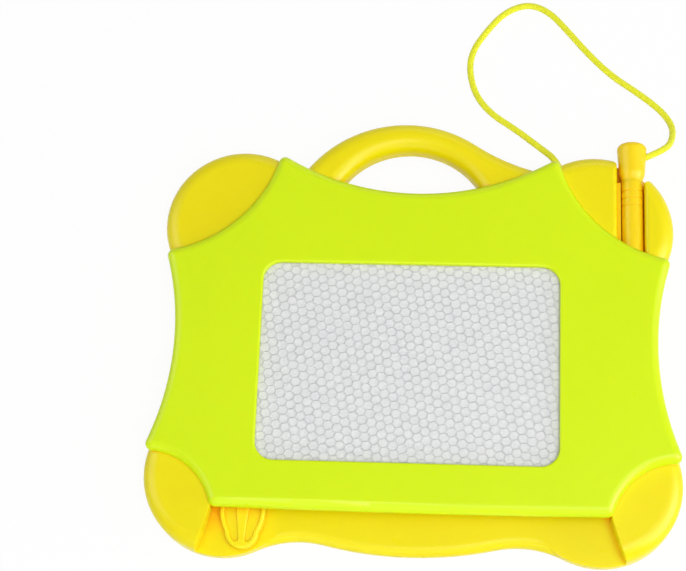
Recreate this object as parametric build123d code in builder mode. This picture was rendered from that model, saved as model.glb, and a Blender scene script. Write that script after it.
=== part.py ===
from build123d import *
import math
import os

# A magnetic drawing board that lies on its back. X runs along the screen, Y towards the
# carrying handle and Z out of the screen. The origin is under the middle of the board, on
# the surface that it lies on. All sizes are in millimetres.

os.makedirs("parts", exist_ok=True)

# Overall size
overall_width = 200.0
overall_depth = 171.3

# Gaps between pieces, and how far a cut runs past what it cuts
sliding_gap = 0.3
seat_gap = 0.2
screw_gap = 0.05
cut_overrun = 5.0

# Heights above the table
apron_height = 5.0
body_height = 14.0
handle_height = 14.0
handle_base = 5.4

# Round lobes at the four corners
lobe_radius = 30.0
lobe_edge_round = 6.0
top_lobe_x = 68.0
top_lobe_y = 42.8

# Body moulding
body_wall = 2.0
deck_thickness = 2.0
floor_thickness = 2.0
floor_inner_y = -58.0
slot_height = 6.4
slot_half_length = 73.0
locating_rib_width = 1.2
locating_rib_height = 1.4

# Apron below the screen, between the walls of the two lower lobes
apron_edge_round = 3.5
apron_bulge_radius = 143.0
apron_bulge_y = -83.45
apron_valley_radius = 38.0
lobe_wall_x = 73.7
lobe_wall_flare = 8.6
lobe_wall_bow = 0.7

# Carrying handle
handle_outer_radius = 48.5
handle_outer_x = -5.0
handle_inner_radius = 31.55
handle_inner_x = -3.4
handle_bar_width = 11.55
handle_edge_round = 5.4
handle_wall = 2.6
handle_left_angle = 145.0
handle_right_angle = 56.2
handle_left_foot = (-48.0, 60.5)
handle_right_foot = (54.2, 65.1)
handle_inner_end_angle = 165.0
handle_rib_width = 1.2
handle_rib_inset = 1.0
handle_rib_spread = 100.0
handle_rib_count = 6

# Front bezel
bezel_rise = 4.0
bezel_plate = 2.2
bezel_wall = 2.2
bezel_edge_round = 3.4
bezel_overhang = 0.6
bezel_tip_reach = 1.2
bezel_tip_round = 2.5
inner_tip_round = 0.8
top_tip_angle = 117.1
upper_side_tip_angle = -24.3
lower_side_tip_angle = 13.5
bezel_top_y = 54.9
bezel_waist_x = 91.0
bezel_waist_y = -4.9
top_notch_depth = 9.0
bottom_notch_depth = 6.2
bezel_bottom_tip_x = 73.8
bezel_bottom_tip_y = -68.8
bezel_bottom_y = -69.4

# Window in the bezel
window_width = 112.3
window_height = 76.8
window_x = -1.85
window_y = -12.9
window_corner = 7.0
window_edge_round = 0.8

# Screen: two clear films with a sheet of cells between them
front_film = 0.3
back_film = 0.3
screen_ledge = 2.5
screen_corner = 3.0
screen_seal_width = 3.0
opening_corner = 1.0

# Eraser that slides under the screen
eraser_travel = 123.8
eraser_bar_width = 7.0
eraser_bar_thickness = 5.2
eraser_arm_width = 12.0
eraser_arm_thickness = 3.0
eraser_stop_gap = 1.2
eraser_guide_length = 5.0
holder_end_margin = 1.0
magnet_strip_width = 4.0
magnet_strip_thickness = 1.5
knob_width = 16.8
knob_length = 13.7
knob_height = 4.6
knob_end_radius = 6.2
knob_side_bow = 0.5
knob_rim = 1.7
knob_dish_depth = 1.2
knob_rib_width = 5.0
knob_rib_tip_width = 1.6
knob_edge_round = 0.7
knob_dish_edge_round = 0.5
knob_dish_corner = 1.0

# Pen
pen_x = 82.3
pen_z = 9.6
pen_top_y = 78.35
pen_length = 80.0
pen_travel = 75.0
barrel_radius = 4.1
barrel_bore = 2.2
nose_radius = 2.4
nose_length = 9.0
cap_length = 15.6
cap_radius = 5.7
cap_neck_radius = 5.0
cap_neck_length = 4.0
cap_end_round = 2.2
cap_bore = 3.0
cap_end_thickness = 1.5
spigot_length = 6.0
ring_radius = 0.3
ring_pitch = 2.95
ring_count = 3
first_ring_drop = 4.1
pen_magnet_radius = 1.75
pen_magnet_length = 6.0
pen_magnet_proud = 0.4

# Channel and pocket for the pen
channel_radius = 6.0
channel_wall = 1.2
channel_lip = 1.8
channel_shelf_drop = 3.6
channel_step_y = 30.0
mouth_left_round = 4.2
mouth_right_round = 2.4

# Back cover and its screws
cover_thickness = 1.8
cover_recess = 0.4
cover_post_radius = 4.6
cover_rail_width = 1.6
boss_radius = 4.2
boss_bore = 2.7
boss_base_height = 5.0
boss_floor = 3.8
bezel_post_radius = 2.5
bezel_post_pilot = 4.5
screw_hole_gap = 0.25
screw_head_gap = 0.4
screw_radius = 1.25
screw_length = 9.5
screw_head_radius = 2.7
screw_head_height = 1.7
screw_head_depth = 2.3
screw_cross_length = 3.2
screw_cross_width = 0.7
screw_cross_depth = 0.9
upper_screw_x = 55.0
upper_screw_y = 44.0
side_screw_x = 83.0
side_screw_y = -14.0
lower_screw_x = 76.0
lower_screw_y = -50.0

# Cord and its two knots
cord_radius = 1.3
cord_hole_radius = 1.6
cord_exit_angle = 116.0
cord_exit_z = 5.2
cord_exit_reach = 0.5
cord_exit_run = 4.4
cord_pen_run = 5.6
knot_radius = 2.7
cord_hole_drop = 7.4
cord_hole_tilt = 25.0

# Places worked out from the sizes above
top_left_lobe = (-top_lobe_x, top_lobe_y)
top_right_lobe = (top_lobe_x, top_lobe_y)
bottom_lobe_x = overall_width / 2 - lobe_radius
bottom_lobe_y = lobe_radius - overall_depth / 2
bottom_left_lobe = (-bottom_lobe_x, bottom_lobe_y)
bottom_right_lobe = (bottom_lobe_x, bottom_lobe_y)
handle_outer_y = overall_depth / 2 - handle_outer_radius
handle_inner_y = overall_depth / 2 - handle_bar_width - handle_inner_radius
front_wall_y = bezel_bottom_y + bezel_overhang
lobe_top_y = top_lobe_y + lobe_radius
front_wall_inner_y = bezel_bottom_tip_y + bezel_overhang + body_wall
floor_underside = apron_height - floor_thickness
deck_underside = body_height - deck_thickness
slot_top = apron_height + slot_height
bezel_top = body_height + bezel_rise
screen_top = bezel_top - bezel_plate
cell_thickness = screen_top - body_height - front_film - back_film
opening_half_length = (eraser_travel + eraser_bar_width) / 2 + eraser_stop_gap
opening_width = window_height + 2 * holder_end_margin
screen_length = 2 * (opening_half_length + screen_ledge)
screen_width = opening_width + 2 * screen_ledge
eraser_rest_x = -eraser_travel / 2
bar_top = deck_underside - sliding_gap
bar_base = bar_top - eraser_bar_thickness
guide_y = window_y + opening_width / 2 + eraser_guide_length
pen_end_y = pen_top_y - pen_length
cap_start_y = pen_top_y - cap_length
channel_shelf_y = cap_start_y - sliding_gap
cord_hole_y = pen_top_y - cord_hole_drop
trough_radius = barrel_radius + sliding_gap
trough_end_y = pen_end_y - pen_magnet_proud - sliding_gap
screw_places = (
    (-upper_screw_x, upper_screw_y),
    (0, upper_screw_y),
    (upper_screw_x, upper_screw_y),
    (-side_screw_x, side_screw_y),
    (side_screw_x, side_screw_y),
    (-lower_screw_x, lower_screw_y),
    (lower_screw_x, lower_screw_y),
)


def on_circle(centre, radius, degrees):
    """Return the point of a circle at an angle from the X axis."""
    angle = math.radians(degrees)
    return (centre[0] + radius * math.cos(angle), centre[1] + radius * math.sin(angle))


def between_circles(lobe, bulge, valley_radius):
    """Return the centre of the circle outside two circles that touches both."""
    (x1, y1, r1), (x2, y2, r2) = lobe, bulge
    reach1 = r1 + valley_radius
    reach2 = r2 + valley_radius
    distance = math.hypot(x2 - x1, y2 - y1)
    along = (distance**2 + reach1**2 - reach2**2) / (2 * distance)
    across = math.sqrt(reach1**2 - along**2)
    ux = (x2 - x1) / distance
    uy = (y2 - y1) / distance
    return (x1 + along * ux - across * uy, y1 + along * uy + across * ux)


def towards(start, end, distance):
    """Return the point at a distance from start on the way to end."""
    share = distance / math.hypot(end[0] - start[0], end[1] - start[1])
    return (start[0] + share * (end[0] - start[0]), start[1] + share * (end[1] - start[1]))


# Bezel outline before its tips are rounded: eight tips joined by hollow curves
top_tip = on_circle(top_right_lobe, lobe_radius + bezel_tip_reach, top_tip_angle)
upper_side_tip = on_circle(top_right_lobe, lobe_radius + bezel_tip_reach, upper_side_tip_angle)
lower_side_tip = on_circle(bottom_right_lobe, lobe_radius + bezel_tip_reach, lower_side_tip_angle)
bottom_tip = (bezel_bottom_tip_x, bezel_bottom_tip_y)

with BuildSketch() as sharp_outline:
    with BuildLine():
        TangentArc((0, bezel_top_y), top_tip, tangent=(1, 0))
        SagittaArc(top_tip, upper_side_tip, -top_notch_depth)
        ThreePointArc(upper_side_tip, (bezel_waist_x, bezel_waist_y), lower_side_tip)
        SagittaArc(lower_side_tip, bottom_tip, -bottom_notch_depth)
        TangentArc((0, bezel_bottom_y), bottom_tip, tangent=(1, 0))
        mirror(about=Plane.YZ)
    make_face()


def bezel_outline(inset, tip_round):
    """Draw the bezel's outline, set in by inset, with its tips rounded."""
    with BuildSketch() as outline:
        add(sharp_outline.sketch)
        if inset:
            offset(amount=-inset, kind=Kind.INTERSECTION)
        tips = outline.vertices().filter_by(lambda corner: abs(corner.X) > tip_round)
        fillet(tips, radius=tip_round)
    return outline.sketch


def apron_outline(inset):
    """Draw the lower lobes and the bulging lower edge between them, set in by inset."""
    lobe = (bottom_lobe_x, bottom_lobe_y)
    bulge = (0, apron_bulge_y + apron_bulge_radius)
    valley = between_circles(
        (*lobe, lobe_radius), (*bulge, apron_bulge_radius), apron_valley_radius
    )
    valley_radius = apron_valley_radius + inset
    lobe_end = towards(valley, lobe, valley_radius)
    bulge_end = towards(valley, bulge, valley_radius)
    middle = ((lobe[0] + bulge[0]) / 2, (lobe[1] + bulge[1]) / 2)
    with BuildSketch() as outline:
        with BuildLine():
            Line((0, bottom_lobe_y), lobe)
            Line(lobe, lobe_end)
            ThreePointArc(lobe_end, towards(valley, middle, valley_radius), bulge_end)
            TangentArc((0, apron_bulge_y + inset), bulge_end, tangent=(1, 0))
            mirror(about=Plane.YZ)
        make_face()
        with Locations(bottom_left_lobe, bottom_right_lobe):
            Circle(lobe_radius - inset)
    return outline.sketch


def plate_outline(inset):
    """Draw the body under the bezel, set in from its side walls by inset."""
    tip_round = inner_tip_round if inset else bezel_tip_round - bezel_overhang
    return bezel_outline(bezel_overhang + inset, tip_round)


def pocket_outline(inset):
    """Draw the space between the walls of the lower lobes, widened by inset."""
    start = (lobe_wall_x + inset, bottom_lobe_y)
    wall_top = (lobe_wall_x + inset, front_wall_y)
    wall_end = (lobe_wall_x + lobe_wall_flare + inset, -overall_depth / 2 - cut_overrun)
    with BuildSketch() as outline:
        with BuildLine():
            Line((0, bottom_lobe_y), start)
            Line(start, wall_top)
            SagittaArc(wall_top, wall_end, -lobe_wall_bow)
            Line(wall_end, (0, wall_end[1]))
            mirror(about=Plane.YZ)
        make_face()
    return outline.sketch


def handle_outline(inset):
    """Draw the handle's arch, set in from its edges by inset."""
    outer = (handle_outer_x, handle_outer_y)
    inner = (handle_inner_x, handle_inner_y)
    outer_radius = handle_outer_radius - inset
    inner_radius = handle_inner_radius + inset
    left_end = on_circle(outer, outer_radius, handle_left_angle)
    right_end = on_circle(outer, outer_radius, handle_right_angle)
    left_foot = (handle_left_foot[0], handle_left_foot[1] - inset)
    right_foot = (handle_right_foot[0], handle_right_foot[1] - inset)
    with BuildSketch() as outline:
        with BuildLine():
            top = ThreePointArc(left_end, on_circle(outer, outer_radius, 90), right_end)
            TangentArc(right_end, right_foot, tangent=top % 1)
            TangentArc(left_end, left_foot, tangent=-(top % 0))
            inner_left = on_circle(inner, inner_radius, handle_inner_end_angle)
            inner_right = on_circle(inner, inner_radius, 180 - handle_inner_end_angle)
            ThreePointArc(inner_left, on_circle(inner, inner_radius, 90), inner_right)
            Line(left_foot, inner_left)
            Line(inner_right, right_foot)
        make_face()
    return outline.sketch


# Screen opening, shared by the body and the screen
def screen_outline(length, width, corner):
    """Draw a rounded rectangle that is centred on the screen."""
    with BuildSketch() as outline:
        with Locations((0, window_y)):
            RectangleRounded(length, width, corner)
    return outline.sketch


# Solid forms of the body's lobes, apron and handle, before they are hollowed
with BuildPart() as lobes:
    with BuildSketch():
        with Locations(top_left_lobe, top_right_lobe, bottom_left_lobe, bottom_right_lobe):
            Circle(lobe_radius)
    extrude(amount=body_height)
    fillet(lobes.edges().group_by(Axis.Z)[-1], radius=lobe_edge_round)
    with BuildSketch(Plane.XY.offset(apron_height)):
        add(pocket_outline(0))
    extrude(amount=body_height, mode=Mode.SUBTRACT)

with BuildPart() as apron:
    with BuildSketch():
        add(apron_outline(0))
    extrude(amount=apron_height)
    fillet(apron.edges().group_by(Axis.Z)[-1], radius=apron_edge_round)

with BuildPart() as handle:
    with BuildSketch(Plane.XY.offset(handle_base)):
        add(handle_outline(0))
    extrude(amount=handle_height - handle_base)
    fillet(handle.edges().group_by(Axis.Z)[-1].filter_by(GeomType.CIRCLE), radius=handle_edge_round)

# Hollows behind the lobes and the deck
with BuildPart() as lobe_hollows:
    with BuildSketch(Plane.XY.offset(floor_underside)):
        with Locations(top_left_lobe, top_right_lobe, bottom_left_lobe, bottom_right_lobe):
            Circle(lobe_radius - body_wall)
    extrude(amount=deck_underside - floor_underside)
    fillet(lobe_hollows.edges().group_by(Axis.Z)[-1], radius=lobe_edge_round - body_wall)
    with BuildSketch(Plane.XY.offset(floor_underside)):
        add(pocket_outline(body_wall))
    extrude(amount=body_height, mode=Mode.SUBTRACT)

with BuildPart() as body_hollow:
    with BuildSketch():
        add(apron_outline(body_wall))
        add(plate_outline(body_wall))
        with Locations(top_left_lobe, top_right_lobe):
            Circle(lobe_radius - body_wall)
    extrude(amount=floor_underside)
    with BuildSketch(Plane.XY.offset(floor_underside)):
        add(plate_outline(body_wall))
    extrude(amount=deck_underside - floor_underside)
    add(lobe_hollows.part)

with BuildPart() as handle_hollow:
    with BuildSketch():
        add(handle_outline(handle_wall))
        add(plate_outline(0), mode=Mode.SUBTRACT)
        with Locations(top_left_lobe, top_right_lobe):
            Circle(lobe_radius, mode=Mode.SUBTRACT)
    extrude(amount=handle_height - handle_wall)

handle_inner_centre = (handle_inner_x, handle_inner_y)
rib_reach = handle_inner_radius + handle_bar_width
with BuildPart() as handle_ribs:
    with BuildSketch(Plane.XY.offset(handle_base + handle_rib_inset)):
        with Locations(handle_inner_centre):
            with PolarLocations(
                rib_reach, handle_rib_count, (180 - handle_rib_spread) / 2, handle_rib_spread, endpoint=True
            ):
                Rectangle(2 * handle_bar_width, handle_rib_width)
    extrude(amount=handle_height - handle_wall - handle_base - handle_rib_inset)
    add(handle_hollow.part, mode=Mode.INTERSECT)


def channel_profile(radius, top, y):
    """Draw the pen channel's section at y: a round floor and upright walls."""
    with BuildSketch(Plane.XZ.offset(-y)) as profile:
        with Locations((pen_x, pen_z)):
            Circle(radius)
            Rectangle(2 * radius, top - pen_z, align=(Align.CENTER, Align.MIN))
    return profile.sketch


def mouth_corner(side, half_width, corner_round):
    """Draw what the pen channel's mouth loses at one corner to round it."""
    wall_x = pen_x + side * half_width
    centre_x = wall_x + side * corner_round
    reach = lobe_radius - corner_round
    centre = (centre_x, top_lobe_y + math.sqrt(reach**2 - (centre_x - top_lobe_x) ** 2))
    outside = towards(top_right_lobe, centre, lobe_radius + cut_overrun)
    with BuildSketch(Plane.XY.offset(pen_z - channel_radius)) as corner:
        with BuildLine():
            Polyline(
                centre,
                (pen_x, centre[1]),
                (pen_x, lobe_top_y + cut_overrun),
                outside,
                close=True,
            )
        make_face()
        with Locations(centre):
            Circle(corner_round, mode=Mode.SUBTRACT)
    return corner.sketch


# Pieces that are moulded into the body's hollow
with BuildPart() as pen_gutter:
    wide_gutter = channel_profile(channel_radius + channel_wall, body_height, lobe_top_y)
    extrude(wide_gutter, amount=lobe_top_y - channel_step_y)
    narrow_gutter = channel_profile(trough_radius + channel_wall, body_height, channel_step_y)
    extrude(narrow_gutter, amount=channel_step_y - trough_end_y + channel_wall)
    add(body_hollow.part, mode=Mode.INTERSECT)

with BuildPart() as slot_floor:
    with BuildSketch(Plane.XY.offset(floor_underside)):
        with Locations((0, front_wall_y)):
            Rectangle(
                2 * (slot_half_length + body_wall),
                floor_inner_y - front_wall_y,
                align=(Align.CENTER, Align.MIN),
            )
    extrude(amount=floor_thickness)
    add(body_hollow.part, mode=Mode.INTERSECT)

with BuildPart() as screw_bosses:
    with BuildSketch(Plane.XY.offset(boss_base_height)):
        with Locations(*screw_places):
            Circle(boss_radius)
    extrude(amount=body_height)
    add(body_hollow.part, mode=Mode.INTERSECT)

# Radial plane of the cord's hole, with its X axis along the board's Z axis
cord_exit = on_circle(top_right_lobe, lobe_radius, cord_exit_angle)
cord_direction = Vector(cord_exit[0] - top_lobe_x, cord_exit[1] - top_lobe_y, 0).normalized()
cord_plane = Plane(
    origin=(top_lobe_x, top_lobe_y, cord_exit_z), x_dir=(0, 0, 1), z_dir=cord_direction
)

with BuildPart() as main_body:
    # Deck under the bezel, the lobes, the apron and the handle
    with BuildSketch():
        add(plate_outline(0))
    extrude(amount=body_height)
    add(lobes.part)
    add(apron.part)
    add(handle.part)
    add(body_hollow.part, mode=Mode.SUBTRACT)
    add(handle_hollow.part, mode=Mode.SUBTRACT)
    add(handle_ribs.part)
    add(pen_gutter.part)
    add(slot_floor.part)
    add(screw_bosses.part)

    # Slot that the eraser slides in
    with BuildSketch(Plane.XY.offset(apron_height)):
        with Locations((0, front_wall_inner_y)):
            Rectangle(2 * slot_half_length, cut_overrun, align=(Align.CENTER, Align.MAX))
    extrude(amount=slot_height, mode=Mode.SUBTRACT)

    # Opening under the screen, and the rib that holds the screen in place
    with BuildSketch(Plane.XY.offset(deck_underside)):
        add(screen_outline(2 * opening_half_length, opening_width, opening_corner))
    extrude(amount=deck_thickness, mode=Mode.SUBTRACT)
    rib_grow = 2 * (seat_gap + locating_rib_width)
    with BuildSketch(Plane.XY.offset(body_height)):
        add(screen_outline(screen_length + rib_grow, screen_width + rib_grow, screen_corner))
        add(
            screen_outline(screen_length + 2 * seat_gap, screen_width + 2 * seat_gap, screen_corner),
            mode=Mode.SUBTRACT,
        )
    extrude(amount=locating_rib_height)

    # Pen channel: wide round the cap, and a trough with a shelf on its left along the barrel
    channel_start_y = lobe_top_y + cut_overrun
    wide_channel = channel_profile(channel_radius, body_height + cut_overrun, channel_start_y)
    extrude(wide_channel, amount=channel_start_y - channel_shelf_y, mode=Mode.SUBTRACT)
    trough = channel_profile(trough_radius, body_height + cut_overrun, channel_shelf_y)
    extrude(trough, amount=channel_shelf_y - trough_end_y, mode=Mode.SUBTRACT)
    with BuildSketch(Plane.XY.offset(body_height - channel_shelf_drop)):
        with Locations((pen_x, channel_step_y)):
            Rectangle(
                channel_radius, channel_shelf_y - channel_step_y, align=(Align.MAX, Align.MIN)
            )
    extrude(amount=body_height, mode=Mode.SUBTRACT)
    lip_y = lobe_top_y + cut_overrun
    with BuildSketch(Plane.XZ.offset(-lip_y)):
        left_lip_x = pen_x - channel_radius - channel_lip
        right_lip_x = pen_x + trough_radius + channel_lip
        with Locations((left_lip_x, body_height)):
            Rectangle(
                right_lip_x - left_lip_x, 2 * channel_lip, align=(Align.MIN, Align.CENTER)
            )
        lip_z = body_height - channel_lip
        with Locations((left_lip_x, lip_z), (right_lip_x, lip_z)):
            Circle(channel_lip, mode=Mode.SUBTRACT)
    extrude(amount=lip_y - channel_step_y, mode=Mode.SUBTRACT)
    add(mouth_corner(-1, channel_radius, mouth_left_round))
    add(mouth_corner(1, trough_radius, mouth_right_round))
    extrude(amount=body_height, mode=Mode.SUBTRACT)

    # Bores for the bezel's posts, and the screw holes below them
    with BuildSketch(Plane.XY.offset(boss_base_height + boss_floor)):
        with Locations(*screw_places):
            Circle(boss_bore)
    extrude(amount=body_height, mode=Mode.SUBTRACT)
    with BuildSketch():
        with Locations(*screw_places):
            Circle(screw_radius + screw_hole_gap)
    extrude(amount=body_height, mode=Mode.SUBTRACT)

    # Notch that the cord comes out of, closed below by the back cover
    with BuildSketch(cord_plane.offset(lobe_radius - 2 * body_wall)):
        Circle(cord_hole_radius)
        Rectangle(cord_exit_z, 2 * cord_hole_radius, align=(Align.MAX, Align.CENTER))
    extrude(amount=4 * body_wall, mode=Mode.SUBTRACT)
main_body.part.label = "main_body"

with BuildPart() as front_bezel:
    with BuildSketch(Plane.XY.offset(body_height)):
        add(bezel_outline(0, bezel_tip_round))
    extrude(amount=bezel_rise)
    fillet(front_bezel.edges().group_by(Axis.Z)[-1], radius=bezel_edge_round)
    with BuildSketch(Plane.XY.offset(body_height)):
        add(bezel_outline(bezel_wall, inner_tip_round))
    extrude(amount=bezel_rise - bezel_plate, mode=Mode.SUBTRACT)

    # Window, with its front edge rounded
    with BuildSketch(Plane.XY.offset(body_height)):
        with Locations((window_x, window_y)):
            RectangleRounded(window_width, window_height, window_corner)
    extrude(amount=bezel_rise, mode=Mode.SUBTRACT)
    front = front_bezel.faces().sort_by(Axis.Z)[-1]
    fillet(front.inner_wires()[0].edges(), radius=window_edge_round)

    # Posts that the back cover's screws pull on
    post_base = boss_base_height + boss_floor + seat_gap
    with BuildSketch(Plane.XY.offset(post_base)):
        with Locations(*screw_places):
            Circle(bezel_post_radius)
    extrude(amount=screen_top - post_base)
    with BuildSketch(Plane.XY.offset(post_base)):
        with Locations(*screw_places):
            Circle(screw_radius + screw_gap)
    extrude(amount=bezel_post_pilot, mode=Mode.SUBTRACT)
front_bezel.part.label = "front_bezel"

# Screen
with BuildPart() as screen_back_film:
    with BuildSketch(Plane.XY.offset(body_height)):
        add(screen_outline(screen_length, screen_width, screen_corner))
    extrude(amount=back_film)
screen_back_film.part.label = "screen_back_film"

cell_sheet_length = screen_length - 2 * screen_seal_width
cell_sheet_width = screen_width - 2 * screen_seal_width
with BuildPart() as screen_cell_sheet:
    with BuildSketch(Plane.XY.offset(body_height + back_film)):
        add(screen_outline(cell_sheet_length, cell_sheet_width, screen_corner))
    extrude(amount=cell_thickness)
screen_cell_sheet.part.label = "screen_cell_sheet"

with BuildPart() as screen_edge_seal:
    with BuildSketch(Plane.XY.offset(body_height + back_film)):
        add(screen_outline(screen_length, screen_width, screen_corner))
        add(screen_outline(cell_sheet_length, cell_sheet_width, screen_corner), mode=Mode.SUBTRACT)
    extrude(amount=cell_thickness)
screen_edge_seal.part.label = "screen_edge_seal"

with BuildPart() as screen_front_film:
    with BuildSketch(Plane.XY.offset(screen_top - front_film)):
        add(screen_outline(screen_length, screen_width, screen_corner))
    extrude(amount=front_film)
screen_front_film.part.label = "screen_front_film"

# Eraser: a knob on the apron, an arm through the slot and a bar under the screen
knob_base = apron_height + sliding_gap
knob_back_y = front_wall_y + body_wall - sliding_gap
bar_start_y = front_wall_inner_y + sliding_gap
bar_length = guide_y - bar_start_y
holder_height = body_height - sliding_gap - bar_top
holder_length = opening_width - 2 * sliding_gap
groove_length = holder_length - 2 * (eraser_bar_width - magnet_strip_width)
knob_shoulder = knob_length - knob_end_radius
knob_tip_y = bezel_bottom_y - knob_length


def knob_outline(inset):
    """Draw the knob from above, set in from its edge by inset."""
    root = knob_width / 2 - inset
    shoulder = knob_end_radius - inset
    shoulder_y = bezel_bottom_y - knob_shoulder
    with BuildSketch() as outline:
        with BuildLine(Plane((eraser_rest_x, 0))):
            Line((0, knob_back_y), (root, knob_back_y))
            Line((root, knob_back_y), (root, bezel_bottom_y))
            side = SagittaArc((root, bezel_bottom_y), (shoulder, shoulder_y), knob_side_bow)
            ThreePointArc(side @ 1, (0, knob_tip_y + inset), (-shoulder, shoulder_y))
            SagittaArc((-shoulder, shoulder_y), (-root, bezel_bottom_y), knob_side_bow)
            Line((-root, bezel_bottom_y), (-root, knob_back_y))
            Line((-root, knob_back_y), (0, knob_back_y))
        make_face()
    return outline.sketch


with BuildPart() as eraser_slider:
    with BuildSketch(Plane.XY.offset(knob_base)):
        add(knob_outline(0))
    extrude(amount=knob_height)
    fillet(eraser_slider.edges().group_by(Axis.Z)[-1], radius=knob_edge_round)

    # Finger dish with a tapering rib in the middle
    with BuildSketch(Plane.XY.offset(knob_base + knob_height - knob_dish_depth)) as dish:
        add(knob_outline(knob_rim))
        with BuildLine(Plane((eraser_rest_x, 0))):
            Polyline(
                (-knob_rib_width / 2, knob_back_y),
                (knob_rib_width / 2, knob_back_y),
                (knob_rib_tip_width / 2, knob_tip_y),
                (-knob_rib_tip_width / 2, knob_tip_y),
                close=True,
            )
        make_face(mode=Mode.SUBTRACT)
        corners = dish.vertices().filter_by(lambda corner: corner.Y < bezel_bottom_y - knob_dish_corner)
        fillet(corners, radius=knob_dish_corner)
    extrude(amount=knob_height, mode=Mode.SUBTRACT)
    dish_edges = eraser_slider.edges(Select.LAST).group_by(Axis.Z)[-1]
    fillet(dish_edges, radius=knob_dish_edge_round)

    # Arm and bar
    with BuildSketch(Plane.XY.offset(knob_base)):
        with Locations((eraser_rest_x, knob_back_y)):
            Rectangle(
                eraser_arm_width,
                bar_start_y - knob_back_y + eraser_guide_length,
                align=(Align.CENTER, Align.MIN),
            )
    extrude(amount=eraser_arm_thickness)
    with BuildSketch(Plane.XY.offset(bar_base)):
        with Locations((eraser_rest_x, bar_start_y)):
            Rectangle(eraser_bar_width, bar_length, align=(Align.CENTER, Align.MIN))
    extrude(amount=eraser_bar_thickness)

    # Holder that reaches up into the opening, with a groove for the magnet strip
    with BuildSketch(Plane.XY.offset(bar_top)):
        with Locations((eraser_rest_x, window_y)):
            Rectangle(eraser_bar_width, holder_length)
    extrude(amount=holder_height)
    holder_top = bar_top + holder_height
    with BuildSketch(Plane.XY.offset(holder_top - magnet_strip_thickness)):
        with Locations((eraser_rest_x, window_y)):
            Rectangle(magnet_strip_width + 2 * screw_gap, groove_length + 2 * screw_gap)
    extrude(amount=magnet_strip_thickness, mode=Mode.SUBTRACT)
eraser_slider.part.label = "eraser_slider"

with BuildPart() as eraser_magnet:
    with BuildSketch(Plane.XY.offset(holder_top - magnet_strip_thickness)):
        with Locations((eraser_rest_x, window_y)):
            Rectangle(magnet_strip_width, groove_length)
    extrude(amount=magnet_strip_thickness)
eraser_magnet.part.label = "eraser_magnet"

# Pen, turned about its axis
pen_plane = Plane((pen_x, 0, pen_z))
pen_axis = Axis((pen_x, 0, pen_z), (0, 1, 0))
spigot_radius = cap_bore - screw_gap
magnet_bore_length = pen_magnet_length - pen_magnet_proud
first_ring_y = cap_start_y - first_ring_drop

# Plane of the knot in the pen's cap, with its X axis along the cord's slanted hole
hole_tilt = math.radians(cord_hole_tilt)
tilted_half_cord = cord_radius * math.sin(hole_tilt)
pen_stub_reach = (cap_radius - tilted_half_cord) / math.cos(hole_tilt)
cord_end_reach = (cap_radius + sliding_gap + tilted_half_cord) / math.cos(hole_tilt)
pen_knot_plane = Plane(
    origin=(pen_x, cord_hole_y, pen_z),
    x_dir=(*on_circle((0, 0), 1, cord_hole_tilt), 0),
    z_dir=(0, 0, 1),
)

with BuildPart() as pen_barrel:
    with BuildSketch(pen_plane):
        with BuildLine():
            nose_end = (barrel_radius, pen_end_y + nose_length)
            Polyline((0, pen_end_y + nose_length), (0, pen_end_y), (nose_radius, pen_end_y))
            TangentArc(nose_end, (nose_radius, pen_end_y), tangent=(0, -1))
            Polyline(
                nose_end,
                (barrel_radius, cap_start_y),
                (spigot_radius, cap_start_y),
                (spigot_radius, cap_start_y + spigot_length),
                (barrel_bore, cap_start_y + spigot_length),
                (barrel_bore, pen_end_y + nose_length),
                (0, pen_end_y + nose_length),
            )
        make_face()
        with Locations((0, pen_end_y)):
            Rectangle(
                pen_magnet_radius + screw_gap,
                magnet_bore_length,
                align=(Align.MIN, Align.MIN),
                mode=Mode.SUBTRACT,
            )
        with Locations(*[(barrel_radius, first_ring_y - ring * ring_pitch) for ring in range(ring_count)]):
            Circle(ring_radius, mode=Mode.SUBTRACT)
    revolve(axis=pen_axis)
pen_barrel.part.label = "pen_barrel"

with BuildPart() as pen_cap:
    neck_y = cap_start_y + cap_neck_length
    with BuildSketch(pen_plane):
        with BuildLine():
            Line((cap_bore, cap_start_y), (barrel_radius, cap_start_y))
            side = Line((cap_neck_radius, neck_y), (cap_radius, pen_top_y - cap_end_round))
            Spline((barrel_radius, cap_start_y), side @ 0, tangents=((0, 1), side % 0))
            end = TangentArc(
                side @ 1, (cap_radius - cap_end_round, pen_top_y), tangent=side % 1
            )
            Polyline(
                end @ 1,
                (0, pen_top_y),
                (0, pen_top_y - cap_end_thickness),
                (cap_bore, pen_top_y - cap_end_thickness),
                (cap_bore, cap_start_y),
            )
        make_face()
    revolve(axis=pen_axis)
    with BuildSketch(Plane(origin=pen_knot_plane.origin, z_dir=pen_knot_plane.x_dir)):
        Circle(cord_hole_radius)
    extrude(amount=cap_radius + cut_overrun, mode=Mode.SUBTRACT)
pen_cap.part.label = "pen_cap"

with BuildPart() as pen_magnet:
    with BuildSketch(Plane((pen_x, pen_end_y + magnet_bore_length, pen_z), z_dir=(0, -1, 0))):
        Circle(pen_magnet_radius)
    extrude(amount=pen_magnet_length)
pen_magnet.part.label = "pen_magnet"

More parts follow.
